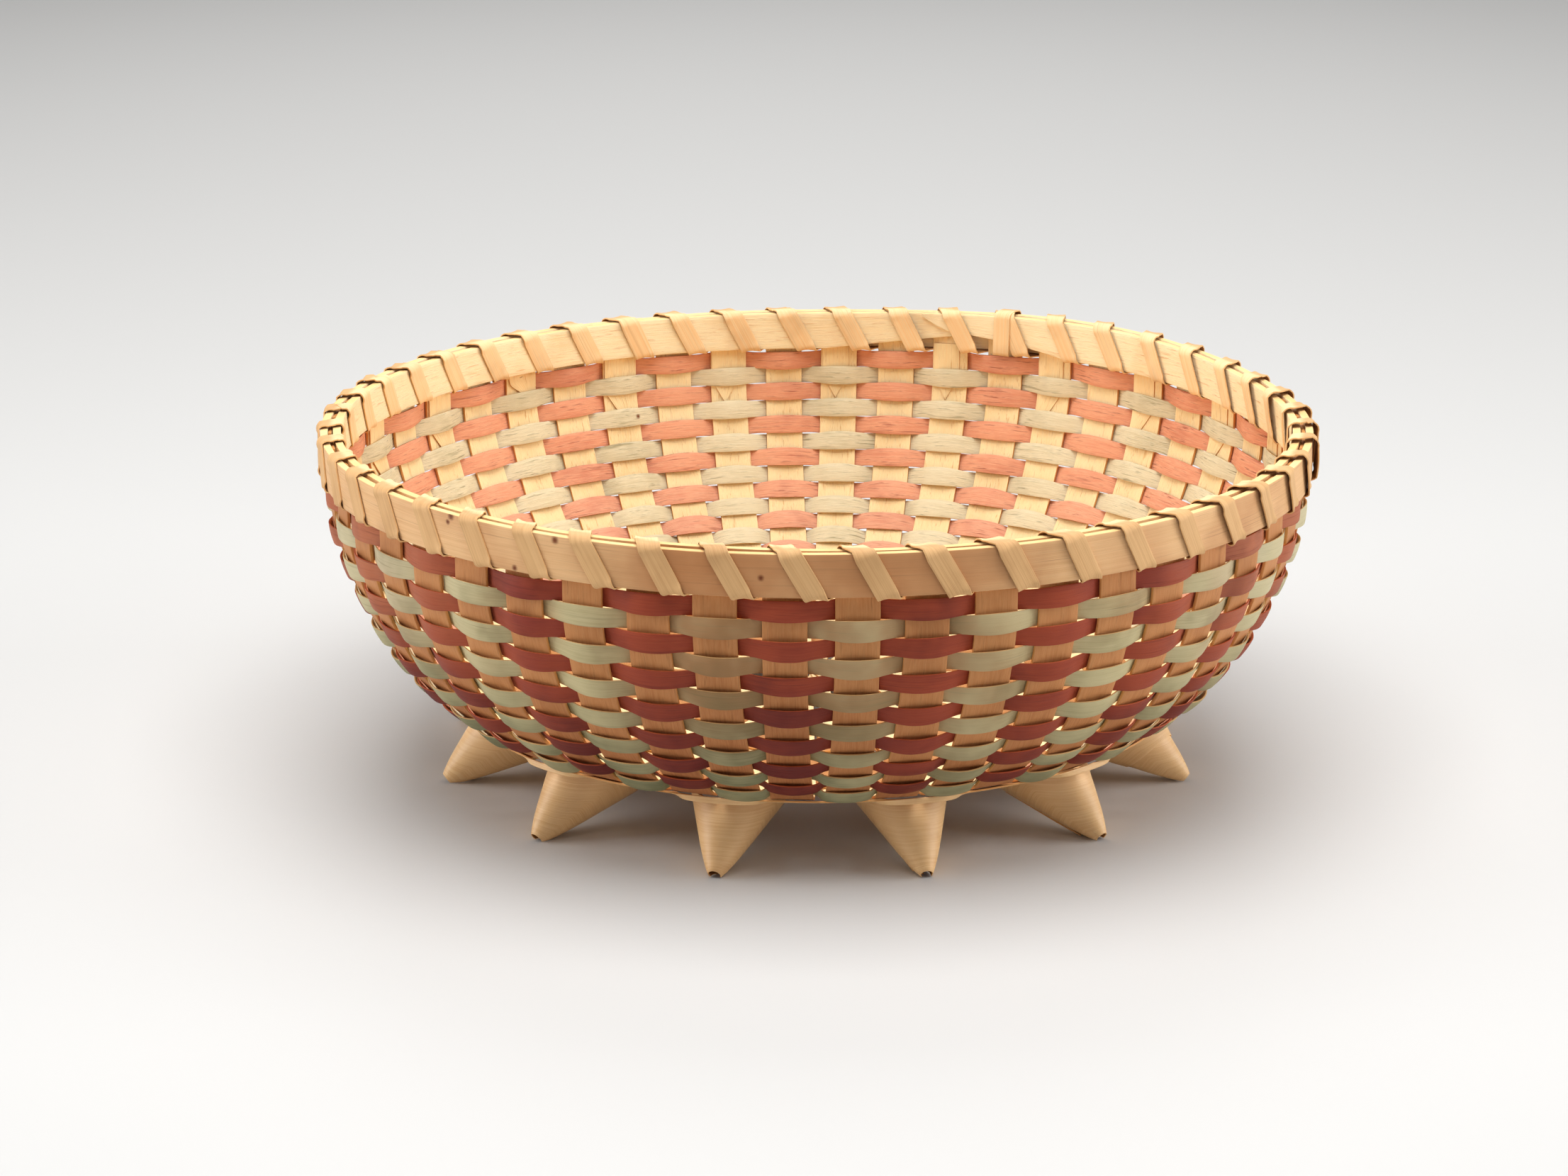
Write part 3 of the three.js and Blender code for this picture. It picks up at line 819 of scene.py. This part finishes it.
def wave(turn, spokes, half, out, over_odd, bulges):
    """How far a row lies out of the stakes' middle surface, at each turn in degrees."""
    pitch = 2 * math.pi * out / spokes
    counted = turn / 360 * spokes
    index = np.floor(counted)
    bulge = bulges[index.astype(int) % spokes]
    beside = np.abs(counted - index - 0.5) * pitch
    side = np.where((index % 2 == 1) == over_odd, 1.0, -1.0)
    arch = ROW_SEAT + bulge * (1 - (beside / half) ** 2)
    gap = pitch - 2 * half
    t = np.clip((beside - half) / gap, 0, 1)
    slope = -2 * bulge / half * gap
    step = ROW_SEAT * (4 * t**3 - 6 * t**2 + 1) + slope * (2 * t**3 - 3 * t**2 + t)
    return side * np.where(beside <= half, arch, step)


def wander(turn, drawn, size, waves=(2, 3, 5, 8, 13)):
    """A slow random drift that closes on itself after a full turn."""
    total = 0 * turn
    for count in waves:
        tall = drawn.uniform(-1, 1)
        total = total + tall * np.sin(np.radians(count * turn) + drawn.uniform(0, ANY_PHASE))
    return total * size


def wall_row(row, node):
    """One red or green row of the wall, counted from the rim down."""
    here, up, outward = row_place(row)
    drawn = random.Random(node)
    half = float(stake_half(here[0])) + SIDE_SEAT
    bulges = np.array([FLOAT_BULGE * drawn.uniform(*BULGE_SHARES) for _ in range(STAKES)])

    def place(along, across):
        turn = along * 360
        off = wave(turn, STAKES, half, here[0], row % 2 == 0, bulges)
        rise = wander(turn, random.Random(f"{node} rise"), ROW_WANDER)
        share = off / (ROW_SEAT + FLOAT_BULGE)
        widened = np.clip(np.abs(share), 0, 1) ** WIDENING
        width = CROSSING_WIDE + (FLOAT_WIDE - CROSSING_WIDE) * widened
        v = across - 0.5
        away = off + FLOAT_CROWN * (1 - 4 * v**2) * share
        climb = v * width + rise
        return around(turn, here[0] + climb * up[0] + away * outward[0], 0,
                      here[1] + climb * up[1] + away * outward[1])

    piece = lay_grid(f"splint_{node}", STAKES * STEPS_PER_STAKE, CELLS_ACROSS, place,
                     2 * math.pi * here[0], FLOAT_WIDE,
                     slide=(drawn.uniform(0, GRAIN_START), 0))
    dye, slot = (RED, "red_ash") if node.startswith("red") else (GREEN, "green_ash")
    make_splint(piece, dye, SPLINT_THICK, closed=True, edge=ROW_EDGE)
    hand_in(piece, node)


for row, node in enumerate(WALL_ROWS):
    wall_row(row, node)

# %% Rows of the base
BASE_BULGE = 0.3 * MM
BASE_SIDE_SEAT = 0.1 * MM
BASE_STEPS_PER_SPOKE = 24
BASE_CELLS = 8
BASE_GRAIN_APART = 1.7


def base_row(row, node):
    """One wide row of the base, woven opposite to its neighbours."""
    inner, corner, _, _ = reach(node)
    outer = corner * math.cos(math.radians(END_STEP / 2))

    def place(along, across):
        turn = along * 360
        out = inner + across * (outer - inner)
        half = spoke_half(out) + BASE_SIDE_SEAT
        off = wave(turn, ENDS, half, out, row % 2 == 0, np.full(ENDS, BASE_BULGE))
        return around(turn, out, 0, base_z - off)

    piece = lay_grid(f"splint_{node}", ENDS * BASE_STEPS_PER_SPOKE, BASE_CELLS, place,
                     2 * math.pi * outer, outer - inner, slide=(BASE_GRAIN_APART * row, 0))
    make_splint(piece, BASE, SPLINT_THICK, closed=True, edge=ROW_EDGE)
    hand_in(piece, node)


for row, node in enumerate(BASE_ROWS):
    base_row(row, node)

# %% [markdown]
# ## The rim
#
# Two hoops clamp the tops of the stakes, one outside and one inside. Each is a thicker strip
# whose ends are shaved and lie over each other. The inner one ends in a tongue that narrows
# to a blunt tip, and shows inside at the back.

# %% Hoops
HOOP_LAP = STAKE_STEP
HOOP_TAPER = 2 * HOOP_LAP
HOOP_STEPS = 735
HOOP_CELLS = 8
HOOP_EDGE = 0.5 * MM
HOOP_WANDER = 0.06 * MM
SCARF_GAP = 0.25 * MM
OUTER_LAP_AT = 112.5
INNER_LAP_AT = 67.5

# Degrees back from the tip of the tongue, and the share of the hoop's height cut off there
TONGUE_AT = [0, 2, 4, 6.5, 11, 17, 21]
TONGUE_CUT = [0.92, 0.67, 0.51, 0.45, 0.33, 0.14, 0]

# The end under the tongue is cut by this share, less and less over so many degrees
UNDER_CUT = 0.44
UNDER_REACH = 20.5

# The model's hoop has a flat at each stake, and a round one lies midway between the flats
# and the corners
rounded = (1 + math.cos(math.radians(STAKE_STEP / 2))) / 2
rim_near, rim_far = inner_in, outer_out * rounded
rim_middle = (rim_near + rim_far) / 2
hoop_tall = hoop_high - hoop_low


def hoop(node, nearest, farthest, lap_at, tongue):
    """A hoop between two distances from the axis. tongue narrows the end that shows."""
    thick = farthest - nearest
    last = 360 + HOOP_LAP
    shaved = (thick + SCARF_GAP) / (2 - HOOP_LAP / HOOP_TAPER)

    def tapers(along):
        start = np.clip(1 - along * last / HOOP_TAPER, 0, 1)
        end = np.clip(1 - (1 - along) * last / HOOP_TAPER, 0, 1)
        return start, end

    def place(along, across):
        start, end = tapers(along)
        turn = along * last
        out = (nearest + farthest) / 2 + (start - end) * shaved / 2
        narrow = np.interp(last - turn, TONGUE_AT, TONGUE_CUT) * tongue
        under = UNDER_CUT * np.clip(1 - turn / UNDER_REACH, 0, 1) * tongue
        rise = wander(turn * 360 / last, random.Random(node), HOOP_WANDER)
        share = 1 - (1 - across) * (1 - narrow - under)
        return around(lap_at + turn, out, 0, hoop_low + share * hoop_tall + rise)

    def thin(along, across):
        return 1 - sum(tapers(along))

    piece = lay_grid(f"splint_{node}", HOOP_STEPS, HOOP_CELLS, place, 2 * math.pi * farthest,
                     hoop_tall, slide=(lap_at, 0), thin=thin)
    make_splint(piece, HOOP, thick, edge=HOOP_EDGE, least=1 - shaved / thick)
    hand_in(piece, node)


hoop("outer_hoop", outer_in, rim_far, OUTER_LAP_AT, tongue=False)
hoop("inner_hoop", rim_near, inner_out * rounded, INNER_LAP_AT, tongue=True)

# %% [markdown]
# ## The lashing
#
# One strip winds round both hoops and dips through each gap between two stakes, right under
# the hoops. It was pulled tight, so it lies flat on the outer face, but over the top it
# stands off a little, and on the right of the photograph it has worked loose. Outside it runs
# slanting from upper left to lower right. Its loose end lies over the inner hoop's lap.

# %% Lashing
LASH_WIDE = 5.2 * MM
LASH_THICK = 0.4 * MM
LASH_OFF = 0.1 * MM
LASH_CORNER = 1.2 * MM
LASH_EDGE = 0.08 * MM
LASH_CUP = 0.05 * MM
WRAPS = 24

# How far the strip strays along the rim at the top and at the bottom, in degrees
TOP_STRAY = 0.35
DIP_STRAY = 0.12

# How far it stands off over the top, which reaches this far to each side of the middle
LASH_SWELL = 0.6 * MM
SWELL_SHARES = (0.5, 1.3)
SWELL_REACH = 3.6 * MM

# How far it stands off at the side, most this far under the top, and how far it reaches
SLACK = (0.05 * MM, 0.2 * MM)
SLACK_BELOW = 4 * MM
SLACK_REACH = 7 * MM

# Where the gap pinches it: the share of a turn to each side, and the width that it loses
PINCH_REACH = 0.12
PINCH_CUT = 0.08
WIDTH_SHARES = (0.95, 1.04)

# How far one edge lifts, and the share of it that the inside has
EDGE_LIFT = (0.12 * MM, 0.3 * MM)
INSIDE_LIFT = 0.6

# Where the lashing is loosest and how far that reaches, in degrees, and what it adds there
LOOSE_AT = 5
LOOSE_REACH = 50
LOOSE_SLACK = 1.3 * MM
LOOSE_SHARES = (0.4, 1)
LOOSE_LIFT = 0.5 * MM


def rim_loop(off, steps=8, corner_steps=5):
    """Once round the rim's section, out from the middle of its top: places and outward way."""
    box = np.array([(rim_far + off, hoop_high + off), (rim_far + off, hoop_low - off),
                    (rim_near - off, hoop_low - off), (rim_near - off, hoop_high + off)])
    ways = np.array([(0, -1), (-1, 0), (0, 1), (1, 0)])
    looks = np.array([(1, 0), (0, -1), (-1, 0), (0, 1)])
    points, outward = [], []
    for side in range(4):
        start, end = box[side], box[(side + 1) % 4]
        way, face, turned = ways[side], looks[side], looks[(side + 1) % 4]
        length = np.linalg.norm(end - start) - 2 * LASH_CORNER
        for step in range(steps):
            points.append(start + way * (LASH_CORNER + step / steps * length))
            outward.append(face)
        centre = end - (way + face) * LASH_CORNER
        for step in range(corner_steps):
            angle = math.pi / 2 * step / corner_steps
            toward = face * math.cos(angle) + turned * math.sin(angle)
            points.append(centre + toward * LASH_CORNER)
            outward.append(toward)
    shift = -(3 * (steps + corner_steps) + steps // 2)
    return np.roll(points, shift, axis=0), np.roll(outward, shift, axis=0)


def eased(values, reach=4):
    """A closed row of values, smoothed over its neighbours."""
    return sum(np.roll(values, k, axis=0) for k in range(-reach, reach + 1)) / (2 * reach + 1)


def bulged(points, outward, swell, slack):
    """The loop pulled off the rim a little: by swell over the top, by slack at the side."""
    over = np.clip(1 - ((points[:, 0] - rim_middle) / SWELL_REACH) ** 2, 0, 1)
    below = points[:, 1] - hoop_high + SLACK_BELOW
    beside = np.clip(1 - (below / SLACK_REACH) ** 2, 0, 1)
    lift = over * np.clip(outward[:, 1], 0, 1) * swell + beside * np.abs(outward[:, 0]) * slack
    return points + outward * eased(lift)[:, None]


def loose(azimuth):
    """1 where the lashing is slackest, on the right of the photograph, and 0 far from it."""
    away = abs((azimuth - LOOSE_AT + 180) % 360 - 180)
    return max(0, 1 - away / LOOSE_REACH)


def lashing(node, first_gap):
    """One strip that winds once through each of twenty-four gaps. share goes round a turn."""
    points, outward = rim_loop(LASH_OFF + LASH_THICK / 2)
    steps = np.linalg.norm(np.diff(points, axis=0, append=points[:1]), axis=1)
    share = np.concatenate([[0], np.cumsum(steps)[:-1]]) / steps.sum()
    drawn = random.Random(node)
    tops = [drawn.uniform(-TOP_STRAY, TOP_STRAY) for _ in range(WRAPS + 1)]
    at, places, facing, half, twist = [], [], [], [], []
    for wrap in range(WRAPS):
        gap = (first_gap + wrap) * STAKE_STEP
        dip = drawn.uniform(-DIP_STRAY, DIP_STRAY)
        drift = np.interp(share, [0, 0.5, 1], [tops[wrap], dip, tops[wrap + 1]])
        at.append(gap + STAKE_STEP * (share - 0.5) + drift)
        swell = LASH_SWELL * (drawn.uniform(*SWELL_SHARES) + loose(gap))
        slack = drawn.uniform(*SLACK) + LOOSE_SLACK * loose(gap) * drawn.uniform(*LOOSE_SHARES)
        places.append(bulged(points, outward, swell, slack))
        facing.append(outward)
        pinch = np.clip(1 - np.abs(share - 0.5) / PINCH_REACH, 0, 1)
        half.append(LASH_WIDE / 2 * (1 - PINCH_CUT * pinch) * drawn.uniform(*WIDTH_SHARES))
        lifted = drawn.uniform(*EDGE_LIFT) + LOOSE_LIFT * loose(gap)
        at_side = np.abs(outward[:, 0]) * np.where(outward[:, 0] > 0, 1, INSIDE_LIFT)
        twist.append(-lifted * eased(at_side))
    at, places, facing, half, twist = map(np.concatenate, (at, places, facing, half, twist))
    half, twist = eased(half), eased(twist)
    spine = around(at, places[:, 0], 0, places[:, 1])
    facing = around(at, facing[:, 0], 0, facing[:, 1])
    return lay_strip(f"splint_{node}", spine, facing, half, cup=LASH_CUP, twist=twist,
                     slide=(drawn.uniform(0, SHORT_GRAIN_START), 0))


TAIL_AT = 63.4
TAIL_SLANT = 0.3
TAIL_POINTS = 40
TAIL_HALF = 2.4 * MM
TAIL_LAYER = 1.6
TAIL_GRAIN = 3


def lashing_tail():
    """The end of the lashing, laid straight over the rim on top of a wrap."""
    points, outward = rim_loop(LASH_OFF + LASH_THICK * TAIL_LAYER)
    points, outward = (np.roll(values, TAIL_POINTS // 2, axis=0)[:TAIL_POINTS] for values in
                       (bulged(points, outward, LASH_SWELL, 0), outward))
    at = np.linspace(TAIL_AT + TAIL_SLANT, TAIL_AT - TAIL_SLANT, TAIL_POINTS)
    spine = around(at, points[:, 0], 0, points[:, 1])
    facing = around(at, outward[:, 0], 0, outward[:, 1])
    return lay_strip("tail", spine, facing, np.full(TAIL_POINTS, TAIL_HALF),
                     slide=(TAIL_GRAIN, 0))


first_lashing = join_pieces(lashing("lashing_1", 0), lashing_tail())
second_lashing = lashing("lashing_2", WRAPS)
for piece, node in ((first_lashing, "lashing_1"), (second_lashing, "lashing_2")):
    make_splint(piece, LASH, LASH_THICK, edge=LASH_EDGE)
    hand_in(piece, node)

# %% [markdown]
# ## Feet and foot band
#
# Each foot is a wide splint rolled into a cone, with its grain running round it. The mouth is
# tucked up under the turn of the base, and the tip is worn flat where it stands. A narrow
# strip runs round the base. It hangs down in front of each mouth, and between two feet it is
# tucked under.

# %% Foot band
BAND_STEPS = 720
BAND_THICK = 0.5 * MM
BAND_WIDE = 4.2 * MM
BAND_WANDER = 0.12 * MM

# Degrees to each side of a foot over which the band hangs down, and how far that strays
BAND_REACH = 7.2
BAND_STRAY = 0.4

# The band's edges, out and up from the faces of the model's band
UPPER_EDGE = np.array([-0.5, -0.6]) * MM
TUCKED_EDGE = np.array([0.8, 0.4]) * MM
HANGING_EDGE = np.array([-0.1, 0.9]) * MM


def foot_band():
    """The pale strip round the base."""
    upper = np.array([band_out, band_high]) + UPPER_EDGE
    tucked = np.array([band_in, band_low]) + TUCKED_EDGE
    hanging = np.array([band_out, band_low]) + HANGING_EDGE

    def place(along, across):
        turn = along * 360
        drawn = random.Random("foot band")
        sway = wander(turn, drawn, BAND_WANDER)
        beside = (turn + wander(turn, drawn, BAND_STRAY)) % (360 / FEET) - 180 / FEET
        over = np.clip(1 - (beside / BAND_REACH) ** 2, 0, 1)[:, None]
        lower = tucked + over * (2 - over) * (hanging - tucked)
        point = lower + across[:, None] * (upper - lower)
        return around(turn, point[:, 0] + sway, 0, point[:, 1] + 0.3 * sway)

    piece = lay_grid("splint_foot_band", BAND_STEPS, CELLS_ACROSS, place,
                     2 * math.pi * band_out, BAND_WIDE)
    make_splint(piece, CONE[:1] + BASE[1:], BAND_THICK, closed=True)
    hand_in(piece, "foot_band")


foot_band()

# %% Rolled cones
FOOT_TIP_OUT = 96 * MM
FOOT_RISE = 36
FOOT_FLARE = 20.5
FOOT_TIP_RADIUS = 1.3 * MM
FOOT_LONG = 26 * MM
FOOT_THICK = 0.6 * MM
FOOT_ROLL_STEP = 0.9 * MM
FOOT_TREAD = 0.75 * MM
FOOT_STEPS = 96
FOOT_CELLS = 14
FOOT_EDGE = 0.1 * MM
FOOT_ROUND = 50 * MM

# The cone's middle surface is cut off this high over the floor, and this far under the bowl.
# The cut is found by halving, and one nearer the tip than NEARLY_TIP is at the tip
FLOOR_CUT = 0.25 * MM
UNDER_BOWL = 1.5 * MM
HALVINGS = 30
NEARLY_TIP = 0.001 * MM

# The share of its length at the tip over which a cone is thinner, and how blunt the tip is
TIP_THIN = 0.3
BLUNT = 0.6 * MM
BLUNT_REACH = 2.5 * MM
ROLL_AT_TREAD = 0.8

# Where the seam lies, how far it strays, and how far the roll laps over itself, in degrees
SEAM_AT = 165
SEAM_STRAY = (-15, 10)
LAP = 35

# One cone, at the front right, is rolled nearly twice. Its second turn starts this far from
# the tip, comes nearer by so much in each half turn, and begins over a few degrees
LONG_LAP_FOOT = 11
LONG_LAP = 280
LONG_LAP_START = 14 * MM
LONG_LAP_NEARS = 4 * MM
LONG_LAP_RAMP = 10

UNDER_LAST_KNOT = 9
under_knots = smooth_path(wall, np.linspace(0, UNDER_LAST_KNOT, 400))
slope = unit(np.gradient(under_knots, axis=0))
under = under_knots + UNDER_BOWL * np.stack([slope[:, 1], -slope[:, 0]], axis=1)


def cone(foot):
    """One foot: a sheet of splint rolled into a cone whose tip stands on the floor."""
    drawn = random.Random(f"foot {foot}")
    bearing = 360 / FEET * (foot + 0.5)
    seam_at = SEAM_AT + drawn.uniform(*SEAM_STRAY)
    long_lap = foot == LONG_LAP_FOOT
    lap = LONG_LAP if long_lap else LAP
    level, steep = math.cos(math.radians(FOOT_RISE)), math.sin(math.radians(FOOT_RISE))
    flare = math.tan(math.radians(FOOT_FLARE))
    roll = FOOT_ROLL_STEP * 360 / (360 + lap)
    tip = FOOT_TIP_RADIUS + ROLL_AT_TREAD * FOOT_ROLL_STEP

    def on_cone(along, turn):
        """A point of the sheet's middle, at a distance from the tip and a turn in degrees."""
        blunt = BLUNT * (1 - np.exp(-along / BLUNT_REACH))
        radius = FOOT_TIP_RADIUS + blunt + along * flare + turn / 360 * roll - FOOT_THICK / 2
        up = radius * np.cos(np.radians(turn + seam_at))
        across = radius * np.sin(np.radians(turn + seam_at))
        return (FOOT_TIP_OUT + tip * steep - along * level + up * steep, across,
                tip * level - FOOT_TREAD + along * steep + up * level)

    def walk(turn, holds):
        """How far up from the tip something holds, at each turn."""
        low, high = np.zeros_like(turn), np.full_like(turn, FOOT_LONG)
        for _ in range(HALVINGS):
            mid = (low + high) / 2
            keep = holds(*on_cone(mid, turn))
            low, high = np.where(keep, mid, low), np.where(keep, high, mid)
        return high

    def below_bowl(x, y, z):
        return z < np.interp(np.hypot(x, y), under[:, 0], under[:, 1])

    def place(along, across):
        turn = along * (360 + lap)
        start = walk(turn, lambda x, y, z: z < FLOOR_CUT)
        start = np.where(start < NEARLY_TIP, 0, start)
        if long_lap:
            past = turn - 360
            wound = LONG_LAP_START - LONG_LAP_NEARS * (past - LONG_LAP_RAMP) / 180
            start = np.maximum(start, np.clip(past / LONG_LAP_RAMP, 0, 1) * wound)
        end = walk(turn, below_bowl)
        return around(bearing, *on_cone(start + across * (end - start), turn))

    def thin(along, across):
        return np.clip(across / TIP_THIN, 0, 1)

    name = f"foot_{foot + 1:02d}"
    piece = lay_grid(f"rolled_{name}", FOOT_STEPS, FOOT_CELLS, place, FOOT_ROUND, FOOT_LONG,
                     slide=(drawn.uniform(0, SHORT_GRAIN_START), 0), thin=thin)
    make_splint(piece, CONE, FOOT_THICK, edge=FOOT_EDGE)
    hand_in(piece, name)


for foot in range(FEET):
    cone(foot)

# %% [markdown]
# ## Floor
#
# A wide sheet of pale paper lies under the basket. It belongs to the studio, not to the
# basket, and takes the place of the dark table in the photograph.

# %% Floor
FLOOR_WIDE = 8
bpy.ops.mesh.primitive_plane_add(size=FLOOR_WIDE)
floor = bpy.context.object
floor.name = "studio_floor"
paper = Finish("studio_paper")
paper.set(Base_Color=colour(212, 211, 209), Roughness=0.6)
floor.data.materials.append(paper.material)
print(f"{floor.name}: {FLOOR_WIDE} m across")
